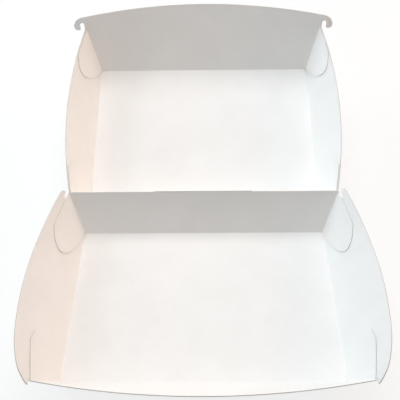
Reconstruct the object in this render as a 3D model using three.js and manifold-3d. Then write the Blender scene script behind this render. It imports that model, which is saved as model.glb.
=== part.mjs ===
// Open takeaway box, folded and glued from one sheet of white paperboard:
// a shallow flared tray, and a deeper flared lid on one crease along the back.
// Millimetres, +Z up. X runs along the hinge, the mouth's front edge faces -Y,
// and the origin is the centre of the tray's underside.
import * as THREE from 'three';
import { mergeVertices } from 'three/addons/utils/BufferGeometryUtils.js';
import Module from 'manifold-3d';

const wasm = await Module();
wasm.setup();

// Paperboard
const board = 0.45;
const glueBite = 0.15; // how far glued layers are sunk into each other
const hingeGap = 0.3; // slit that parts lid and tray along the crease
const slideGap = 0.3; // play between the closed lid's ends and the tray's ends

// Panels that lie flat in both halves
const floorLength = 161.4;
const floorDepth = 109.8;

// Tray
const trayHeight = 27.5; // inside floor to mouth
const endLean = 9.3; // end walls, floor to mouth
const longLean = 13.1; // front and back walls, floor to mouth
const trayEndBow = 7.8;
const trayFrontBow = 9;
const hookReach = 3; // end walls past the front corners
const shoulderRise = 10.6; // highest point of the end walls above the mouth
const heelRise = 4.5; // the same beside the hinge

// Lid
const lidHeight = 33;
const lidEndBow = 7.5;
const lidFrontReach = 2; // lid mouth past the tray's mouth
const lidFrontBow = 9.5;
const lidRimShort = 0.5; // end walls stop this far short of the mouth
const flapDrop = 7.8; // front wall past the mouth
const earReach = 8.4; // locking ears past the lid's corners
const earTipDrop = -1.6; // ear tips reach back past the mouth
const earNotchWidth = 3.2;
const notchMargin = 0.1; // notch clear of the end wall's outer face
const earNotchDepth = 3.7;
const notchInset = 0.7; // notch reaches this far inside the mouth's front edge

// Glue tabs, folded round each corner from the front and back walls
const trayBackTab = { reach: 37, widest: 0.68 };
const trayFrontTab = { reach: 32, widest: 0.8 };
const lidFrontTab = { reach: 31, widest: 0.8 };
const lidBackTab = { reach: 25, widest: 0.6 };
const tabTopSetback = 1.2;
const tabTaper = 0.4; // how much a tab draws in from its widest to its top
const foldFill = 0.98; // share of a fold's outer edge that the wall's foot fills

// Hinge crease
const slotLength = 64.6;
const slotWidth = 1.9;
const reliefRadius = 1.3;
const reliefSpan = 12;
const cornerReliefRadius = 0.7;

// Facets
const frontSteps = 36;
const endSteps = 24;
const wallRows = 4;
const brimRows = 3;
const tabSteps = 5;
const tabRows = 7;
const holeSides = 16;

// Sizes worked out from the ones above
const trayRimHalf = floorLength / 2 + endLean;
const trayMouthDepth = floorDepth + 2 * longLean;
const lidMouthDepth = trayMouthDepth + lidFrontReach;
const lidRimHalf = trayRimHalf - 2 * board - slideGap;

function toSolid(positions, triangles) {
  const source = new THREE.BufferGeometry();
  source.setAttribute('position', new THREE.Float32BufferAttribute(positions, 3));
  source.setIndex(triangles);
  return solidOf(source);
}

function solidOf(geometry) {
  const bare = geometry.clone();
  bare.deleteAttribute('normal');
  bare.deleteAttribute('uv');
  const merged = mergeVertices(bare, 1e-4);
  return new wasm.Manifold(new wasm.Mesh({
    numProp: 3,
    vertProperties: new Float32Array(merged.attributes.position.array),
    triVerts: new Uint32Array(merged.index.array),
  }));
}

function placedSolid(geometry, position, rotation = [0, 0, 0]) {
  const place = new THREE.Object3D();
  place.position.set(...position);
  place.rotation.set(...rotation);
  place.updateMatrix();
  return solidOf(geometry.clone().applyMatrix4(place.matrix));
}

function joined(solids) {
  return solids.reduce((whole, solid) => whole.add(solid));
}

// Sheet between two offsets of a curved surface. surface(a, h) gives the inside
// face at distance a along the wall and height h; place(i, j) gives a and h for
// one grid point; side is +1 or -1 so that the thickness goes outward.
function sheetSolid(surface, place, columns, rows, inner, outer, side) {
  const step = 0.01;
  const faces = [inner, outer].map((offset) => {
    const grid = [];
    for (let j = 0; j <= rows; j++) {
      for (let i = 0; i <= columns; i++) {
        const [a, h] = place(i / columns, j / rows);
        const along = surface(a + step, h).sub(surface(a - step, h));
        const up = surface(a, h + step).sub(surface(a, h - step));
        const outward = along.cross(up).normalize().multiplyScalar(side * offset);
        grid.push(surface(a, h).add(outward));
      }
    }
    return grid;
  });
  const count = (columns + 1) * (rows + 1);
  const positions = faces.flat().flatMap((point) => [point.x, point.y, point.z]);
  const triangles = [];
  const quad = (p, q, r, s) => {
    if (side > 0) triangles.push(p, q, r, p, r, s);
    else triangles.push(p, r, q, p, s, r);
  };
  const at = (i, j) => j * (columns + 1) + i;
  for (let j = 0; j < rows; j++) {
    for (let i = 0; i < columns; i++) {
      const corners = [at(i, j), at(i + 1, j), at(i + 1, j + 1), at(i, j + 1)];
      quad(...corners.map((index) => index + count));
      quad(...corners.reverse());
    }
  }
  const rim = [];
  for (let i = 0; i < columns; i++) rim.push(at(i, 0));
  for (let j = 0; j < rows; j++) rim.push(at(columns, j));
  for (let i = columns; i > 0; i--) rim.push(at(i, rows));
  for (let j = rows; j > 0; j--) rim.push(at(0, j));
  rim.forEach((index, k) => {
    const next = rim[(k + 1) % rim.length];
    quad(index, next, next + count, index + count);
  });
  return toSolid(positions, triangles);
}

// One half of the box, mouth up. The hinge edge lies on the X axis, the floor
// below it, and the front wall at -Y. Heights are measured from the inside floor.
function wallSurfaces(half) {
  const { height, mouthDepth, rimHalf, endBow, frontBow } = half;
  const floorHalf = floorLength / 2;
  const frontLean = mouthDepth - longLean - floorDepth;
  const share = (h) => h / height;
  const held = (h) => THREE.MathUtils.clamp(share(h), 0, 1);
  const swell = (h) => Math.max(share(h), 0);
  const backEdge = (h) => -longLean * (1 - held(h));
  const frontEdge = (h) => -longLean - floorDepth - frontLean * held(h);
  const halfWidth = (h) => floorHalf + (rimHalf - floorHalf) * share(h);
  const cornerHalf = (h) => halfWidth(Math.min(h, height));
  const crown = (offset, reach) => 1 - (offset / reach) ** 2;
  const end = (sideSign) => (y, h) => {
    const middle = (backEdge(h) + frontEdge(h)) / 2;
    const reach = (backEdge(h) - frontEdge(h)) / 2;
    const bow = endBow * crown(y - middle, reach) * swell(h);
    return new THREE.Vector3(sideSign * (halfWidth(h) + bow), y, h - height);
  };
  const front = (x, h) => {
    const bow = frontBow * Math.max(crown(x, cornerHalf(h)), 0) * swell(h);
    const lean = longLean + floorDepth + frontLean * share(h);
    return new THREE.Vector3(x, -lean - bow, h - height);
  };
  const back = (x, h) => new THREE.Vector3(x, -longLean * (1 - share(h)), h - height);
  return { end, front, back, backEdge, frontEdge, cornerHalf, frontLean };
}

// How far a wall runs past its crease so that the outer faces of the fold meet.
function foldOverlap(lean, height) {
  const fold = Math.PI / 2 - Math.atan2(lean, height);
  return board * Math.tan(fold / 2);
}

function footDrop(lean, height) {
  return foldFill * foldOverlap(lean, height) * height / Math.hypot(lean, height);
}

// Wall grid: first from the floor crease to the mouth, then on to the brim line.
// A wall with no brim stops short of the mouth.
function wallPlace(height, foot, mouthEdge, brim, short) {
  const rows = wallRows + brimRows;
  if (!brim) {
    return (i, j) => {
      const h = THREE.MathUtils.lerp(-foot, height - short, j);
      return [mouthEdge(i, h), h];
    };
  }
  return (i, j) => {
    const row = j * rows;
    if (row <= wallRows + 1e-6) {
      const h = THREE.MathUtils.lerp(-foot, height, row / wallRows);
      return [mouthEdge(i, h), h];
    }
    const rise = (row - wallRows) / brimRows;
    const [a, h] = brim(i);
    const start = mouthEdge(i, height);
    return [THREE.MathUtils.lerp(start, a, rise), THREE.MathUtils.lerp(height, h, rise)];
  };
}

function glueTab(surface, crease, direction, height, { reach, widest }, side) {
  const top = height - tabTopSetback;
  const outline = (share) => {
    if (share < widest) return Math.sin(Math.PI / 2 * share / widest);
    return Math.sqrt(1 - tabTaper * ((share - widest) / (1 - widest)) ** 2);
  };
  const place = (i, j) => {
    const h = THREE.MathUtils.lerp(board, top, j);
    const length = reach * outline(h / top);
    const near = crease(h) - direction * glueBite;
    const far = crease(h) + direction * length;
    return [THREE.MathUtils.lerp(Math.min(near, far), Math.max(near, far), i), h];
  };
  return sheetSolid(surface, place, tabSteps, tabRows, -board, glueBite, side);
}

function foldedHalf(half) {
  const walls = wallSurfaces(half);
  const { height, endBrim, rimShort, frontBrim, frontRows, frontTab, backTab } = half;
  const between = (low, high, share) => THREE.MathUtils.lerp(low, high, share);
  const solids = [];

  // Floor
  const footprint = new THREE.BoxGeometry(floorLength + glueBite, floorDepth + glueBite, board);
  solids.push(placedSolid(footprint, [0, -longLean - floorDepth / 2, -height - board / 2]));

  // Front and back walls
  const span = (i, h) => between(-1, 1, i) * (walls.cornerHalf(h) + glueBite);
  const frontPlace = wallPlace(height, footDrop(walls.frontLean, height), span, frontBrim, 0);
  solids.push(sheetSolid(walls.front, frontPlace, frontSteps, frontRows, 0, board, 1));
  const backPlace = (i, j) => {
    const h = between(-footDrop(longLean, height), height + board, j);
    return [span(i, h), h];
  };
  solids.push(sheetSolid(walls.back, backPlace, 2, 2, 0, board, -1));

  // End walls, glued over the tabs of the front and back walls
  for (const sign of [-1, 1]) {
    const end = walls.end(sign);
    const endSpan = (i, h) => between(walls.frontEdge(h) - board, walls.backEdge(h) + board, i);
    const endFoot = footDrop(walls.cornerHalf(height) - floorLength / 2, height);
    const endPlace = wallPlace(height, endFoot, endSpan, endBrim, rimShort);
    const endRows = endBrim ? wallRows + brimRows : wallRows;
    solids.push(sheetSolid(end, endPlace, endSteps, endRows, 0, board, sign));
    solids.push(glueTab(end, walls.frontEdge, 1, height, frontTab, sign));
    solids.push(glueTab(end, walls.backEdge, -1, height, backTab, sign));
  }
  return joined(solids);
}

// Tray, its end walls rising into shoulders with a small hook at each front corner
const brimLine = new THREE.SplineCurve([
  [-hookReach, 0.1],
  [-0.9 * hookReach, 0.36],
  [-0.1 * hookReach, 0.68],
  [1.2 * hookReach, 0.94],
  [0.12 * trayMouthDepth, 1],
  [0.27 * trayMouthDepth, 0.84],
  [0.45 * trayMouthDepth, 0.68],
].map(([along, rise]) => new THREE.Vector2(along, rise * shoulderRise)).concat([
  new THREE.Vector2(0.7 * trayMouthDepth, 1.18 * heelRise),
  new THREE.Vector2(0.92 * trayMouthDepth, heelRise),
  new THREE.Vector2(0.97 * trayMouthDepth, 0.96 * heelRise),
  new THREE.Vector2(0.985 * trayMouthDepth, 0.8 * heelRise),
]));

const tray = {
  height: trayHeight,
  mouthDepth: trayMouthDepth,
  rimHalf: trayRimHalf,
  endBow: trayEndBow,
  frontBow: trayFrontBow,
  frontRows: wallRows,
  frontTab: trayFrontTab,
  backTab: trayBackTab,
  rimShort: 0,
  endBrim: (i) => {
    const point = brimLine.getPointAt(i);
    return [point.x - trayMouthDepth, trayHeight + point.y];
  },
};

// Lid, its front wall running on into a flap with an ear at each corner
const flapLine = new THREE.SplineCurve([
  [lidRimHalf + 0.48 * earReach, 0.7 * earTipDrop],
  [lidRimHalf + 0.72 * earReach, earTipDrop],
  [lidRimHalf + 0.94 * earReach, 0.4 * earTipDrop],
  [lidRimHalf + earReach, 0.25 * flapDrop],
  [lidRimHalf + 0.82 * earReach, 0.62 * flapDrop],
  [lidRimHalf + 0.35 * earReach, 0.93 * flapDrop],
  [0.94 * lidRimHalf, flapDrop],
  [0.5 * lidRimHalf, flapDrop],
  [0, flapDrop],
].map(([along, drop]) => new THREE.Vector2(along, drop)));

const lid = {
  height: lidHeight,
  mouthDepth: lidMouthDepth,
  rimHalf: lidRimHalf,
  endBow: lidEndBow,
  frontBow: lidFrontBow,
  frontRows: wallRows + brimRows,
  frontTab: lidFrontTab,
  backTab: lidBackTab,
  rimShort: lidRimShort,
  frontBrim: (i) => {
    const turn = i * 2 - 1;
    const point = flapLine.getPointAt(1 - Math.abs(turn));
    return [Math.sign(turn) * point.x, lidHeight + point.y];
  },
};

// Angle by which the open lid stays short of lying flat, its near floor edge on
// the table: edgeY * sin(tilt) - edgeDrop * cos(tilt) = tableGap - hingeHeight
const hingeHeight = board + trayHeight;
const tableGap = 0.05;
const edgeY = longLean - foldOverlap(longLean, lidHeight);
const edgeDrop = lidHeight + board;
const edgeReach = Math.hypot(edgeY, edgeDrop);
const restTilt = Math.atan2(edgeDrop, edgeY) + Math.asin((tableGap - hingeHeight) / edgeReach);

// Plane through the hinge, half-way between the two back walls as they rest
const trayWallAngle = Math.atan2(-trayHeight, -longLean);
const lidWallAngle = Math.atan2(-lidHeight, longLean) + restTilt;
const crease = (trayWallAngle + lidWallAngle) / 2;

// Block whose face lies half a gap from the hinge plane; turn is the plane's
// angle in the half's own frame, and the block fills the side beyond it.
function beyondHinge(turn) {
  const size = 3 * lidMouthDepth;
  const block = new THREE.BoxGeometry(size, size, size);
  const out = new THREE.Vector2(Math.cos(turn), Math.sin(turn));
  out.multiplyScalar(size / 2 - hingeGap / 2);
  return placedSolid(block, [0, out.x, out.y], [turn, 0, 0]);
}

function hingeSlot() {
  const rod = new THREE.CylinderGeometry(slotWidth / 2, slotWidth / 2, slotLength, holeSides);
  return placedSolid(rod, [0, 0, 0], [0, 0, Math.PI / 2]);
}

function trayReliefs() {
  const hinge = new THREE.CylinderGeometry(reliefRadius, reliefRadius, reliefSpan, holeSides);
  const corner = new THREE.SphereGeometry(cornerReliefRadius, holeSides, holeSides / 2);
  return [-1, 1].flatMap((sign) => [
    placedSolid(hinge, [sign * (lidRimHalf + reliefRadius), 0, 0]),
    placedSolid(corner, [sign * trayRimHalf, -trayMouthDepth, 0]),
  ]);
}

// Notch between a corner of the lid and its ear, open towards the mouth
function earNotches() {
  const radius = earNotchWidth / 2;
  const outline = new THREE.Shape();
  outline.moveTo(-radius, 2 * earTipDrop);
  outline.lineTo(radius, 2 * earTipDrop);
  outline.lineTo(radius, earNotchDepth - radius);
  outline.absarc(0, earNotchDepth - radius, radius, 0, Math.PI);
  outline.closePath();
  const depth = notchInset + earNotchDepth + 2 * board;
  const cutter = new THREE.ExtrudeGeometry(outline, { depth, bevelEnabled: false, curveSegments: 6 });
  const along = lidRimHalf + board + notchMargin + radius;
  return [-1, 1].map((sign) => placedSolid(
    cutter,
    [sign * along, -lidMouthDepth + notchInset, 0],
    [Math.PI / 2, 0, 0],
  ));
}

function cut(solid, cutters) {
  return solid.subtract(joined(cutters));
}

function meshOf(name, solid, material) {
  const { vertProperties, triVerts } = solid.getMesh();
  const geometry = new THREE.BufferGeometry();
  geometry.setAttribute('position', new THREE.BufferAttribute(vertProperties, 3));
  geometry.setIndex(new THREE.BufferAttribute(triVerts, 1));
  geometry.computeVertexNormals();
  const mesh = new THREE.Mesh(geometry, material);
  mesh.name = name;
  return mesh;
}

const whiteBoard = { color: 0xf4f2ee, roughness: 0.62, metalness: 0 };

const traySolid = cut(foldedHalf(tray), [beyondHinge(crease + Math.PI / 2), hingeSlot(), ...trayReliefs()]);
const lidSolid = cut(foldedHalf(lid), [beyondHinge(1.5 * Math.PI - crease + restTilt), hingeSlot(), ...earNotches()]);

const box = new THREE.Group();
const trayMesh = meshOf('tray', traySolid, new THREE.MeshStandardMaterial(whiteBoard));
const lidMesh = meshOf('lid', lidSolid, new THREE.MeshStandardMaterial(whiteBoard));

// The hinge line stands over the tray's back; the lid is turned end for end and
// tipped up by its rest angle.
const hinge = new THREE.Group();
hinge.position.set(0, trayMouthDepth / 2, hingeHeight);
lidMesh.rotation.set(restTilt, 0, Math.PI, 'XYZ');
hinge.add(trayMesh, lidMesh);
box.add(hinge);

export default box;
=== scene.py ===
# Open takeaway box of folded white board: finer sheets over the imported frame,
# board and cut-edge finishes, a soft studio and the camera.
import math

import bmesh
import bpy
from mathutils import Matrix, Vector


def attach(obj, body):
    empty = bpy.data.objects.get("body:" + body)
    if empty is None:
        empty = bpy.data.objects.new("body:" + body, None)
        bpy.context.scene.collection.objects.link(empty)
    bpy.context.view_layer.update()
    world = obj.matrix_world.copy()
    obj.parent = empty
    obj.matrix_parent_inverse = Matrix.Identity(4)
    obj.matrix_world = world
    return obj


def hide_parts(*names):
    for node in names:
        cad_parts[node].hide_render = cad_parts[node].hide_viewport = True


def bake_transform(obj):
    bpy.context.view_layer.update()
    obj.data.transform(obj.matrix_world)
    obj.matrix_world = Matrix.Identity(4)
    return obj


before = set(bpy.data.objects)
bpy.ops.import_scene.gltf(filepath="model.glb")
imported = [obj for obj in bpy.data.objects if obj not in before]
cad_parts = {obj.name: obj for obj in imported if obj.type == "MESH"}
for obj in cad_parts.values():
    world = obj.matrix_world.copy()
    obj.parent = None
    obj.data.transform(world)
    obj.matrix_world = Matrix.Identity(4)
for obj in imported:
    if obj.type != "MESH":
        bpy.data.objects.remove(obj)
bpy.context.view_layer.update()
print("frame loaded:", ", ".join(sorted(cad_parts)))

mm = 0.001

boardStock = {
    "thickness": 0.45,
    "tabGap": 0.03,        # between a glue tab and the wall over it
    "foldRadius": 0.4,
    "foldSteps": 3,
    "mergeGap": 0.002,     # panel points closer than this are one point
    "supportLine": 1.6,    # grid line beside each fold
    "sharpAngle": 38,
    "flatWeight": 60,      # how strongly large faces set the shading
    "ridgeSetback": 0.75,  # walls stop here, the hinge strip carries on
}

floorPanel = {"length": 161.4, "depth": 109.8, "longLean": 13.1}

gridSteps = {"front": 64, "end": 44, "wall": 9, "brim": 7, "bunching": 0.66, "outline": 400}


def lerp(low, high, share):
    return low + (high - low) * share


def smoothLine(points):
    # Smooth line through points; the result gives its point at a share of its length
    last = len(points) - 1
    steps = gridSteps["outline"]

    def pointAt(place):
        k = min(int(place), last - 1)
        w = place - k
        p0, p1, p2, p3 = (points[min(max(k + step, 0), last)] for step in (-1, 0, 1, 2))
        found = []
        for a, b, c, d in zip(p0, p1, p2, p3):
            v0 = (c - a) / 2
            v1 = (d - b) / 2
            cubic = (2 * b - 2 * c + v0 + v1) * w ** 3
            square = (-3 * b + 3 * c - 2 * v0 - v1) * w ** 2
            found.append(cubic + square + v0 * w + b)
        return found

    line = [pointAt(last * k / steps) for k in range(steps + 1)]
    lengths = [0.0]
    for a, b in zip(line, line[1:]):
        lengths.append(lengths[-1] + math.dist(a, b))

    def at(share):
        wanted = share * lengths[-1]
        k = next((i for i in range(1, steps) if lengths[i] >= wanted), steps)
        part = (wanted - lengths[k - 1]) / (lengths[k] - lengths[k - 1])
        return [lerp(a, b, part) for a, b in zip(line[k - 1], line[k])]

    return at


class Half:
    # One half of the box, mouth up: hinge edge on the X axis, front wall at -Y
    def __init__(self, sizes):
        for key, size in sizes.items():
            setattr(self, key, size)
        self.floorHalf = floorPanel["length"] / 2
        self.lean = floorPanel["longLean"]
        self.frontLean = self.mouthDepth - self.lean - floorPanel["depth"]

    def share(self, h):
        return h / self.height

    def backEdge(self, h):
        return -self.lean * (1 - min(max(self.share(h), 0), 1))

    def frontEdge(self, h):
        held = min(max(self.share(h), 0), 1)
        return -self.lean - floorPanel["depth"] - self.frontLean * held

    def cornerHalf(self, h):
        return lerp(self.floorHalf, self.rimHalf, min(self.share(h), 1))

    def end(self, sign, y, h, inset=0.0):
        # Point of an end wall, or inset from it along the wall's own normal
        def point(y, h):
            middle = (self.backEdge(h) + self.frontEdge(h)) / 2
            reach = (self.backEdge(h) - self.frontEdge(h)) / 2
            bow = self.endBow * (1 - ((y - middle) / reach) ** 2) * max(self.share(h), 0)
            wide = lerp(self.floorHalf, self.rimHalf, self.share(h))
            return Vector((sign * (wide + bow), y, h - self.height))

        if not inset:
            return point(y, h)
        step = 0.01
        along = point(y + step, h) - point(y - step, h)
        up = point(y, h + step) - point(y, h - step)
        outward = along.cross(up).normalized() * sign
        return point(y, h) - outward * inset

    def front(self, x, h):
        crown = max(1 - (x / self.cornerHalf(h)) ** 2, 0)
        bow = self.frontBow * crown * max(self.share(h), 0)
        lean = self.lean + floorPanel["depth"] + self.frontLean * self.share(h)
        return Vector((x, -lean - bow, h - self.height))

    def back(self, x, h):
        return Vector((x, -self.lean * (1 - self.share(h)), h - self.height))


trayShape = {
    "height": 27.5,
    "mouthDepth": 136.0,
    "rimHalf": 90.0,
    "endBow": 7.8,
    "frontBow": 9.0,
    "frontTab": {"reach": 32, "widest": 0.8},
    "backTab": {"reach": 37, "widest": 0.68},
    "rimShort": 0.0,
    "shoulderRise": 10.6,
    "heelRise": 4.5,
    "hookReach": 3.0,
}

lidShape = {
    "height": 33.0,
    "mouthDepth": 138.0,
    "rimHalf": 88.8,
    "endBow": 7.5,
    "frontBow": 9.5,
    "frontTab": {"reach": 31, "widest": 0.8},
    "backTab": {"reach": 25, "widest": 0.6},
    "rimShort": 0.5,      # end walls stop this far short of the mouth
    "rimRowShare": 0.6,   # place of the grid row under that lowered rim
    "flapDrop": 7.8,
    "earReach": 8.4,
    "earTipDrop": -1.6,
}

# Glue tabs: height of the foot, setback below the mouth, narrowing above the widest
# height, and the grid's columns with the first one's distance from the corner
tabShape = {"foot": 0.6, "topSetback": 1.2, "taper": 0.4, "columns": 14, "firstColumn": 1.0}

hingeHeight = trayShape["height"] + boardStock["thickness"]
hingeLine = Vector((0, trayShape["mouthDepth"] / 2, hingeHeight))


def lidTilt(tableGap=0.05):
    # The open lid stays short of flat by this angle, its near floor edge on the table
    lean, height, board = floorPanel["longLean"], lidShape["height"], boardStock["thickness"]
    fold = math.pi / 2 - math.atan2(lean, height)
    across = lean - board * math.tan(fold / 2)
    drop = height + board
    lowered = math.asin((tableGap - hingeLine.z) / math.hypot(across, drop))
    return math.atan2(drop, across) + lowered


restTilt = lidTilt()


def trayBrim(half):
    # Top of the tray's end walls, from the hook at the front corner to the hinge
    depth, reach = half.mouthDepth, half.hookReach
    rises = [
        (-reach, 0.1), (-0.9 * reach, 0.36), (-0.1 * reach, 0.68), (1.2 * reach, 0.94),
        (0.12 * depth, 1), (0.27 * depth, 0.84), (0.45 * depth, 0.68),
    ]
    points = [(along, rise * half.shoulderRise) for along, rise in rises]
    heel = [(0.7, 1.18), (0.92, 1), (0.97, 0.96), (0.985, 0.8)]
    points += [(share * depth, rise * half.heelRise) for share, rise in heel]
    line = smoothLine(points)

    def at(share):
        along, rise = line(share)
        return along - depth, half.height + rise

    return at


def lidFlap(half):
    # Lower edge of the lid's flap, with an ear past each corner
    rim, reach, tip, drop = half.rimHalf, half.earReach, half.earTipDrop, half.flapDrop
    line = smoothLine([
        (rim + 0.48 * reach, 0.7 * tip),
        (rim + 0.72 * reach, tip),
        (rim + 0.94 * reach, 0.4 * tip),
        (rim + reach, 0.25 * drop),
        (rim + 0.82 * reach, 0.62 * drop),
        (rim + 0.35 * reach, 0.93 * drop),
        (0.94 * rim, drop),
        (0.5 * rim, drop),
        (0, drop),
    ])

    def at(turn):
        along, fall = line(1 - abs(turn))
        return math.copysign(along, turn), half.height + fall

    return at


class Sheet:
    # Panels of one folded sheet, each a grid of points, joined along its folds
    def __init__(self, inside):
        self.mesh = bmesh.new()
        self.panel = self.mesh.faces.layers.int.new("panel")
        self.inside = Vector(inside)
        self.count = 0

    def add(self, grid):
        self.count += 1
        rows = [[self.mesh.verts.new(point) for point in row] for row in grid]
        for low, high in zip(rows, rows[1:]):
            for k in range(len(low) - 1):
                face = self.mesh.faces.new((low[k], low[k + 1], high[k + 1], high[k]))
                face.normal_update()
                if face.normal.dot(self.inside - face.calc_center_median()) < 0:
                    face.normal_flip()
                face[self.panel] = self.count

    def fold(self):
        bmesh.ops.remove_doubles(
            self.mesh, verts=self.mesh.verts[:], dist=boardStock["mergeGap"],
        )
        folds = [
            edge for edge in self.mesh.edges
            if len({face[self.panel] for face in edge.link_faces}) > 1
        ]
        bmesh.ops.bevel(
            self.mesh, geom=folds, offset=boardStock["foldRadius"],
            segments=boardStock["foldSteps"], profile=0.5, affect="EDGES",
            clamp_overlap=False,
        )


def spread(steps):
    # Shares from -1 to 1 that bunch towards both ends, where the outlines turn most
    even = [2 * k / steps - 1 for k in range(steps + 1)]
    return [lerp(share, math.sin(math.pi / 2 * share), gridSteps["bunching"]) for share in even]


def tabWidth(tab, part):
    # Share of a glue tab's reach at a share of its height
    widest = tab["widest"]
    if part < widest:
        return math.sin(math.pi / 2 * part / widest)
    past = (part - widest) / (1 - widest)
    return math.sqrt(1 - tabShape["taper"] * past ** 2)


def foldedSheet(half, brim=None, flap=None):
    # One half's inner faces; brim and flap are its outlines past the mouth
    thickness = boardStock["thickness"]
    support = boardStock["supportLine"]
    tabInset = thickness + boardStock["tabGap"]
    # Every panel faces this point above the mouth
    insidePoint = (0, -half.mouthDepth / 2, half.height * 1.5)
    sheet = Sheet(insidePoint)

    frontColumns = spread(gridSteps["front"])
    endColumns = [(share + 1) / 2 for share in spread(gridSteps["end"])]
    brimRows = [(row + 1) / gridSteps["brim"] for row in range(gridSteps["brim"])]
    top = half.height - tabShape["topSetback"]
    steps = gridSteps["wall"]
    upperRows = [lerp(support, top, (k + 1) / steps) for k in range(steps)]
    wallRows = [0, tabShape["foot"], support] + upperRows

    def longX(share, h):
        return share * (half.cornerHalf(h) - tabInset)

    # Floor
    outer = half.floorHalf
    columns = [-outer] + [longX(share, 0) for share in frontColumns] + [outer]
    depths = [lerp(half.frontEdge(0), half.backEdge(0), share) for share in endColumns]
    sheet.add([[(x, y, -half.height) for x in columns] for y in depths])

    # Front wall, on the lid with its flap
    frontRows = wallRows + [half.height]
    grid = [[half.front(longX(share, h), h) for share in frontColumns] for h in frontRows]
    if flap:
        for rise in brimRows:
            line = []
            for share in frontColumns:
                x, h = flap(share)
                x = lerp(longX(share, half.height), x, rise)
                line.append(half.front(x, lerp(half.height, h, rise)))
            grid.append(line)
    sheet.add(grid)

    # Back wall, up to the ridge
    slant = math.hypot(half.lean, half.height)
    wallTop = half.height * (1 - boardStock["ridgeSetback"] / slant)
    backRows = wallRows + [wallTop]
    sheet.add([[half.back(longX(share, h), h) for share in frontColumns] for h in backRows])

    for sign in (-1, 1):
        # Glue tabs, carrying on round the corners under the end walls
        for wall, edge, inward, tab in (
            (half.front, half.frontEdge, 1, half.frontTab),
            (half.back, half.backEdge, -1, half.backTab),
        ):
            grid = []
            for h in wallRows[1:]:
                length = tab["reach"] * tabWidth(tab, h / top)
                line = [wall(longX(sign, h), h)]
                for k in range(tabShape["columns"]):
                    share = k / (tabShape["columns"] - 1)
                    run = lerp(tabShape["firstColumn"], length, share)
                    line.append(half.end(sign, edge(h) + inward * run, h, tabInset))
                grid.append(line)
            sheet.add(grid)

        # End wall, over the tabs and out to the front corner's outer face
        rim = half.height - half.rimShort
        rows = [0, support] + upperRows
        if half.rimShort:
            rows[-1] = lerp(rows[-2], rim, half.rimRowShare)
        rows.append(rim)

        def endRow(h):
            low, high = half.frontEdge(h), half.backEdge(h)
            run = [low - thickness] + [lerp(low, high, share) for share in endColumns]
            # The lid's end wall reaches its hinge corner's outer face too
            return run if brim else run + [high + thickness]

        grid = [[half.end(sign, y, h) for y in endRow(h)] for h in rows]
        if brim:
            mouth = endRow(half.height)
            shares = [(start - mouth[0]) / (mouth[-1] - mouth[0]) for start in mouth]
            for rise in brimRows:
                line = []
                for start, share in zip(mouth, shares):
                    y, h = brim(share)
                    y = lerp(start, y, rise)
                    line.append(half.end(sign, y, lerp(half.height, h, rise)))
                grid.append(line)
        sheet.add(grid)
    sheet.fold()
    return sheet.mesh


def meshData(name, shape, materials=()):
    data = bpy.data.meshes.new(name)
    shape.to_mesh(data)
    shape.free()
    for material in materials:
        data.materials.append(material)
    return data


def addObject(name, data):
    made = bpy.data.objects.new(name, data)
    bpy.context.scene.collection.objects.link(made)
    return made


def thicken(piece, thickness):
    # Adds the board behind the modelled faces, with the cut-edge finish round the rim
    thick = piece.modifiers.new("thickness", "SOLIDIFY")
    thick.thickness = thickness
    thick.offset = -1
    thick.material_offset_rim = 1
    return thick


def applyModifiers(piece):
    view = bpy.context.evaluated_depsgraph_get()
    mesh = bpy.data.meshes.new_from_object(piece.evaluated_get(view))
    mesh.name = piece.name
    piece.modifiers.clear()
    piece.data = mesh


def settle(piece, place, sharpAngle):
    # Puts the finished mesh in its place, in metres, and sets its shading
    piece.data.transform(Matrix.Scale(mm, 4) @ place)
    piece.data.shade_smooth()
    piece.data.set_sharp_from_angle(angle=math.radians(sharpAngle))


def solidSheet(name, sheet, cutter, place, materials):
    piece = addObject(name, meshData(name, sheet, materials))
    thicken(piece, boardStock["thickness"]).use_quality_normals = True
    hole = piece.modifiers.new("holes", "BOOLEAN")
    hole.operation = "DIFFERENCE"
    hole.solver = "EXACT"
    hole.use_self = True
    hole.object = cutter
    applyModifiers(piece)
    settle(piece, place, boardStock["sharpAngle"])
    weighted = piece.modifiers.new("flatness", "WEIGHTED_NORMAL")
    weighted.keep_sharp = True
    weighted.weight = boardStock["flatWeight"]
    applyModifiers(piece)
    bpy.data.objects.remove(cutter)
    print(name, "has", len(piece.data.polygons), "faces")
    return piece


holes = {
    "reliefRadius": 1.3,   # at each end of the crease
    "reliefReach": 6,      # how far the cut goes to either side of it
    "cornerRadius": 0.7,   # at the tray's front corners
    "cornerReach": 0.7,
    "notchWidth": 3.2,     # between each ear and the lid's end wall
    "notchDepth": 3.7,
    "notchMargin": 0.1,
    "notchInset": 0.7,     # how far it starts inside the mouth's front edge
    "notchReach": 5,       # and how far it ends outside
    "notchSteps": 12,
    "sides": 28,
}


def ring(x, z, radius):
    sides = holes["sides"]
    turns = [2 * math.pi * k / sides for k in range(sides)]
    return [(x + radius * math.cos(t), z + radius * math.sin(t)) for t in turns]


def cutterOf(prisms):
    # One body of level prisms, each an outline in X and Z from y = low to y = high
    shape = bmesh.new()
    for outline, low, high in prisms:
        near = [shape.verts.new((x, low, z)) for x, z in outline]
        far = [shape.verts.new((x, high, z)) for x, z in outline]
        shape.faces.new(near)
        shape.faces.new(far[::-1])
        for k, a in enumerate(near):
            n = (k + 1) % len(near)
            shape.faces.new((a, far[k], far[n], near[n]))
    bmesh.ops.recalc_face_normals(shape, faces=shape.faces[:])
    return addObject("cutter", meshData("cutter", shape))


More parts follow.
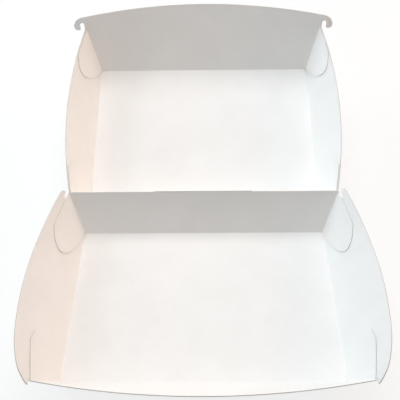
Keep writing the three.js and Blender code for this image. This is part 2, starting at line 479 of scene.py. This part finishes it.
def trayCutter(trayHalf, lidHalf):
    reliefX = lidHalf.rimHalf + holes["reliefRadius"]
    front = -trayHalf.mouthDepth
    prisms = []
    for sign in (-1, 1):
        relief = ring(sign * reliefX, 0, holes["reliefRadius"])
        prisms.append((relief, -holes["reliefReach"], holes["reliefReach"]))
        corner = ring(sign * trayHalf.rimHalf, 0, holes["cornerRadius"])
        prisms.append((corner, front - holes["cornerReach"], front + holes["cornerReach"]))
    return cutterOf(prisms)


def lidCutter(half):
    radius = holes["notchWidth"] / 2
    top = holes["notchDepth"] - radius
    middle = half.rimHalf + boardStock["thickness"] + holes["notchMargin"] + radius
    steps = holes["notchSteps"]
    arch = [math.pi * k / steps for k in range(steps + 1)]
    outline = [(radius * math.cos(t), top + radius * math.sin(t)) for t in arch]
    outline += [(-radius, 2 * half.earTipDrop), (radius, 2 * half.earTipDrop)]
    mouth = -half.mouthDepth
    prisms = []
    for sign in (-1, 1):
        notch = [(sign * middle + x, z) for x, z in outline]
        prisms.append((notch, mouth - holes["notchReach"], mouth + holes["notchInset"]))
    return cutterOf(prisms)


class Value:
    # An output socket that can stand in a sum
    def __init__(self, graph, socket):
        self.graph = graph
        self.socket = socket

    def maths(self, operation, other):
        return self.graph.node("ShaderNodeMath", {"operation": operation}, {0: self, 1: other})

    def __add__(self, other):
        return self.maths("ADD", other)

    def __mul__(self, other):
        return self.maths("MULTIPLY", other)

    __radd__ = __add__
    __rmul__ = __mul__

    def orElse(self, other):
        # The larger of two values, for masks that join
        return self.maths("MAXIMUM", other)

    def beside(self, name):
        # Another output of the same node
        return Value(self.graph, self.socket.node.outputs[name])


class Graph:
    # A tree of shader nodes, all made by one method
    def __init__(self, tree):
        self.tree = tree

    def node(self, kind, settings=None, inputs=None, output=0):
        made = self.tree.nodes.new(kind)
        for key, setting in (settings or {}).items():
            if key == "stops":
                for stop, (place, colour) in zip(made.color_ramp.elements, setting):
                    stop.position = place
                    stop.color = colour
            else:
                setattr(made, key, setting)
        for key, given in (inputs or {}).items():
            self.feed(made.inputs[key], given)
        # The world's output node has no output of its own
        return Value(self, made.outputs[output]) if made.outputs else None

    def feed(self, socket, given):
        if isinstance(given, Value):
            self.tree.links.new(given.socket, socket)
        else:
            socket.default_value = given

    def objectPlace(self):
        return self.node("ShaderNodeTexCoord", output="Object")

    def noise(self, place, texture):
        scale, detail, roughness = texture
        return self.node(
            "ShaderNodeTexNoise", {},
            {"Vector": place, "Scale": scale, "Detail": detail, "Roughness": roughness},
        )

    def mix(self, share, low, high):
        return self.node(
            "ShaderNodeMix", {"data_type": "RGBA"}, {0: share, 6: low, 7: high}, output=2,
        )

    def ramp(self, value, span):
        low, high = span
        black, white = (0, 0, 0, 1), (1, 1, 1, 1)
        return self.node(
            "ShaderNodeValToRGB", {"stops": [(low, black), (high, white)]}, {"Fac": value},
        )


class Paint(Graph):
    # One procedural material
    def __init__(self, name):
        self.material = bpy.data.materials.new(name)
        self.material.use_nodes = True
        super().__init__(self.material.node_tree)
        self.shader = self.tree.nodes["Principled BSDF"]

    def set(self, **given):
        names = {
            "colour": "Base Color", "roughness": "Roughness", "normal": "Normal",
            "specular": "Specular IOR Level",
        }
        for key, value in given.items():
            self.feed(self.shader.inputs[names[key]], value)


boardFinish = {
    "bright": (0.905, 0.9, 0.888, 1),
    "shaded": (0.868, 0.86, 0.842, 1),
    "fleck": (0.79, 0.775, 0.745, 1),
    "fibreRun": (1.0, 0.35, 1.0),  # fibres are drawn out along Y
    # Noise textures, each with its scale, detail and roughness
    "fibre": (950, 5, 0.62),
    "grain": (3600, 3, 0.6),
    "mottle": (42, 4, 0.55),
    "wave": (13, 1, 0.4),
    "toneMottle": 0.7,
    "toneFibre": 0.3,
    "toneSpan": (0.34, 0.68),
    "fleckSpan": (0.7, 0.78),
    "fleckShare": 0.35,
    "waveHeight": 0.0011,
    "waveStrength": 0.5,
    "reliefFibre": 0.6,
    "reliefGrain": 0.4,
    "reliefHeight": 0.00003,
    "reliefStrength": 0.55,
    "roughness": 0.52,
    "roughnessGrain": 0.16,
    "specular": 0.42,
}


def whiteBoard():
    look = boardFinish
    paint = Paint("whiteBoard")
    place = paint.objectPlace()
    drawn = paint.node("ShaderNodeMapping", {}, {"Vector": place, "Scale": look["fibreRun"]})
    fibre = paint.noise(drawn, look["fibre"])
    grain = paint.noise(place, look["grain"])
    mottle = paint.noise(place, look["mottle"])
    wave = paint.noise(place, look["wave"])
    tone = mottle * look["toneMottle"] + fibre * look["toneFibre"]
    colour = paint.mix(paint.ramp(tone, look["toneSpan"]), look["shaded"], look["bright"])
    flecks = paint.ramp(fibre, look["fleckSpan"])
    colour = paint.mix(flecks * look["fleckShare"], colour, look["fleck"])
    slow = paint.node("ShaderNodeBump", {}, {
        "Height": wave, "Distance": look["waveHeight"], "Strength": look["waveStrength"],
    })
    fine = paint.node("ShaderNodeBump", {}, {
        "Height": fibre * look["reliefFibre"] + grain * look["reliefGrain"],
        "Distance": look["reliefHeight"],
        "Strength": look["reliefStrength"],
        "Normal": slow,
    })
    roughness = look["roughness"] + look["roughnessGrain"] * grain
    paint.set(colour=colour, roughness=roughness, normal=fine, specular=look["specular"])
    return paint.material


edgeFinish = {
    "core": (0.5, 0.475, 0.43, 1),
    "fuzz": (0.63, 0.605, 0.56, 1),
    "texture": (5200, 4, 0.7),
    "span": (0.35, 0.65),
    "reliefHeight": 0.00006,
    "reliefStrength": 0.6,
    "roughness": 0.8,
    "roughnessFuzz": 0.1,
    "specular": 0.2,
}


def cutEdge():
    look = edgeFinish
    paint = Paint("cutEdge")
    fuzz = paint.noise(paint.objectPlace(), look["texture"])
    relief = paint.node("ShaderNodeBump", {}, {
        "Height": fuzz, "Distance": look["reliefHeight"], "Strength": look["reliefStrength"],
    })
    colour = paint.mix(paint.ramp(fuzz, look["span"]), look["core"], look["fuzz"])
    roughness = look["roughness"] + look["roughnessFuzz"] * fuzz
    paint.set(colour=colour, roughness=roughness, normal=relief, specular=look["specular"])
    return paint.material


boardMaterials = [whiteBoard(), cutEdge()]
print("finishes made")

trayHalf = Half(trayShape)
lidHalf = Half(lidShape)
toHinge = Matrix.Translation(hingeLine)
toLid = toHinge @ Matrix.Rotation(restTilt, 4, "X") @ Matrix.Rotation(math.pi, 4, "Z")

traySheet = foldedSheet(trayHalf, brim=trayBrim(trayHalf))
trayPiece = solidSheet(
    "trayBoard", traySheet, trayCutter(trayHalf, lidHalf), toHinge, boardMaterials,
)
lidSheet = foldedSheet(lidHalf, flap=lidFlap(lidHalf))
lidPiece = solidSheet("lidBoard", lidSheet, lidCutter(lidHalf), toLid, boardMaterials)
for piece, body in ((trayPiece, "tray"), (lidPiece, "lid")):
    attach(piece, body)
    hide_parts(body)

# Ridge of the crease, on both sides of the slot
ridge = {
    "slotLength": 64.6,
    "halfWidth": 88.6,
    "columns": 12,
    "steps": 8,
    "thickness": 0.36,
    "crown": 0.12,
    "sharpAngle": 50,
    "blendReach": 0.0006,  # metres on either side of the hinge
}


def ridgeStrip():
    def wallTop(sign, half, tilt):
        slant = math.hypot(half.lean, half.height)
        reach = boardStock["ridgeSetback"]
        edge = Vector((0, -sign * half.lean / slant * reach, -half.height / slant * reach))
        return Matrix.Rotation(tilt, 3, "X") @ edge

    near = wallTop(1, trayHalf, 0)
    far = wallTop(-1, lidHalf, restTilt)
    crown = Vector((0, 0, -ridge["crown"]))
    steps = ridge["steps"]
    shape = bmesh.new()
    for sign in (-1, 1):
        start, end = sign * ridge["slotLength"] / 2, sign * ridge["halfWidth"]
        columns = [lerp(start, end, k / ridge["columns"]) for k in range(ridge["columns"] + 1)]
        rows = []
        for k in range(steps + 1):
            share = k / steps
            # Quadratic bend through the ridge, a touch below the true corner
            a, b, c = (1 - share) ** 2, 2 * share * (1 - share), share ** 2
            bend = a * near + b * crown + c * far
            rows.append([shape.verts.new((x, bend.y, bend.z)) for x in columns])
        for low, high in zip(rows, rows[1:]):
            for k in range(len(low) - 1):
                face = shape.faces.new((low[k], low[k + 1], high[k + 1], high[k]))
                face.normal_update()
                if face.normal.z < 0:
                    face.normal_flip()
    strip = addObject("ridgeBoard", meshData("ridgeBoard", shape, boardMaterials))
    thicken(strip, ridge["thickness"])
    applyModifiers(strip)
    settle(strip, toHinge, ridge["sharpAngle"])
    return strip


strip = ridgeStrip()
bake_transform(strip)
print("box folded")

# Studio
lampSettings = [
    {"name": "top", "place": (0.0, 0.37, 0.8), "size": 0.6, "power": 4.5, "colour": (1, 1, 1)},
    {"name": "left", "place": (-0.8, 0.32, 0.5), "size": 0.5, "power": 3.7,
     "colour": (0.74, 0.9, 1)},
    {"name": "right", "place": (0.85, 0.22, 0.38), "size": 0.45, "power": 2.7,
     "colour": (1, 0.54, 0.28)},
]
lampTarget = Vector((0, 0.11, 0.02))


def addLamp(settings):
    data = bpy.data.lights.new(settings["name"], "AREA")
    data.size = settings["size"]
    data.energy = settings["power"]
    data.color = settings["colour"]
    lamp = addObject(settings["name"], data)
    lamp.location = settings["place"]
    lamp.rotation_euler = (lampTarget - lamp.location).to_track_quat("-Z", "Y").to_euler()


for settings in lampSettings:
    addLamp(settings)

worldLook = {"light": 0.265, "seen": 1.0, "colour": (1, 1, 1, 1)}


def studioWorld():
    # Soft light on the box; camera, glossy and transmission rays meet plain white
    world = bpy.data.worlds.new("studio")
    world.use_nodes = True
    bpy.context.scene.world = world
    graph = Graph(world.node_tree)
    graph.tree.nodes.clear()
    colour = worldLook["colour"]
    ray = graph.node("ShaderNodeLightPath", output="Is Camera Ray")
    seen = ray.orElse(ray.beside("Is Glossy Ray")).orElse(ray.beside("Is Transmission Ray"))
    light = graph.node(
        "ShaderNodeBackground", {}, {"Color": colour, "Strength": worldLook["light"]},
    )
    shown = graph.node(
        "ShaderNodeBackground", {}, {"Color": colour, "Strength": worldLook["seen"]},
    )
    either = graph.node("ShaderNodeMixShader", {}, {0: seen, 1: light, 2: shown})
    graph.node("ShaderNodeOutputWorld", {}, {"Surface": either})


studioWorld()

floorLook = {
    "size": 9.0,
    "segments": 4,
    "sunk": 0.0001,       # metres below the table face, so that nothing flickers
    "colour": (0.9, 0.9, 0.9, 1),
    "roughness": 0.9,
    "white": (1, 1, 1, 1),
    "shown": 0.8,         # share of plain white that the camera sees near the box
    "fade": (0.3, 0.65),  # metres over which the floor turns wholly white
}


def floorMaterial():
    paint = Paint("studioFloor")
    paint.set(colour=floorLook["colour"], roughness=floorLook["roughness"])
    cameraRay = paint.node("ShaderNodeLightPath", output="Is Camera Ray")
    away = paint.node(
        "ShaderNodeVectorMath", {"operation": "LENGTH"}, {0: paint.objectPlace()}, output="Value",
    )
    fade = paint.ramp(away, floorLook["fade"])
    white = floorLook["shown"] + (1 - floorLook["shown"]) * fade
    lit = Value(paint, paint.shader.outputs[0])
    glow = paint.node("ShaderNodeEmission", {}, {"Color": floorLook["white"], "Strength": 1.0})
    both = paint.node("ShaderNodeMixShader", {}, {0: cameraRay * white, 1: lit, 2: glow})
    paint.feed(paint.tree.nodes["Material Output"].inputs["Surface"], both)
    return paint.material


def studioFloor():
    ground = bmesh.new()
    segments = floorLook["segments"]
    bmesh.ops.create_grid(
        ground, x_segments=segments, y_segments=segments, size=floorLook["size"] / 2,
    )
    piece = addObject("studioFloor", meshData("studioFloor", ground, [floorMaterial()]))
    piece.location = (0, 0, -floorLook["sunk"])
    return piece


studioFloor()
print("studio lit")

# Camera fitted to the corners and folds of the box in the photo: place in metres,
# lens and sensor in millimetres, angles in degrees
cameraFit = {
    "place": (0.004653, -0.228195, 0.331398),
    "lens": 57.72,
    "sensor": 36,
    "nearClip": 0.01,
    "down": 46.5,
    "aside": -1.32,
    "roll": -1.32,
}


def placeCamera():
    down, aside, roll = (math.radians(cameraFit[key]) for key in ("down", "aside", "roll"))
    ahead = Vector((
        math.sin(aside) * math.cos(down), math.cos(aside) * math.cos(down), -math.sin(down),
    ))
    level = Vector((math.cos(aside), -math.sin(aside), 0))
    upright = level.cross(ahead)
    across = level * math.cos(roll) + upright * math.sin(roll)
    rise = -level * math.sin(roll) + upright * math.cos(roll)
    data = bpy.data.cameras.new("view")
    data.sensor_width = cameraFit["sensor"]
    data.lens = cameraFit["lens"]
    data.clip_start = cameraFit["nearClip"]
    camera = addObject("view", data)
    turn = Matrix((across, rise, -ahead)).transposed().to_4x4()
    camera.matrix_world = Matrix.Translation(Vector(cameraFit["place"])) @ turn
    bpy.context.scene.camera = camera


placeCamera()
bpy.context.scene.view_settings.view_transform = "Standard"
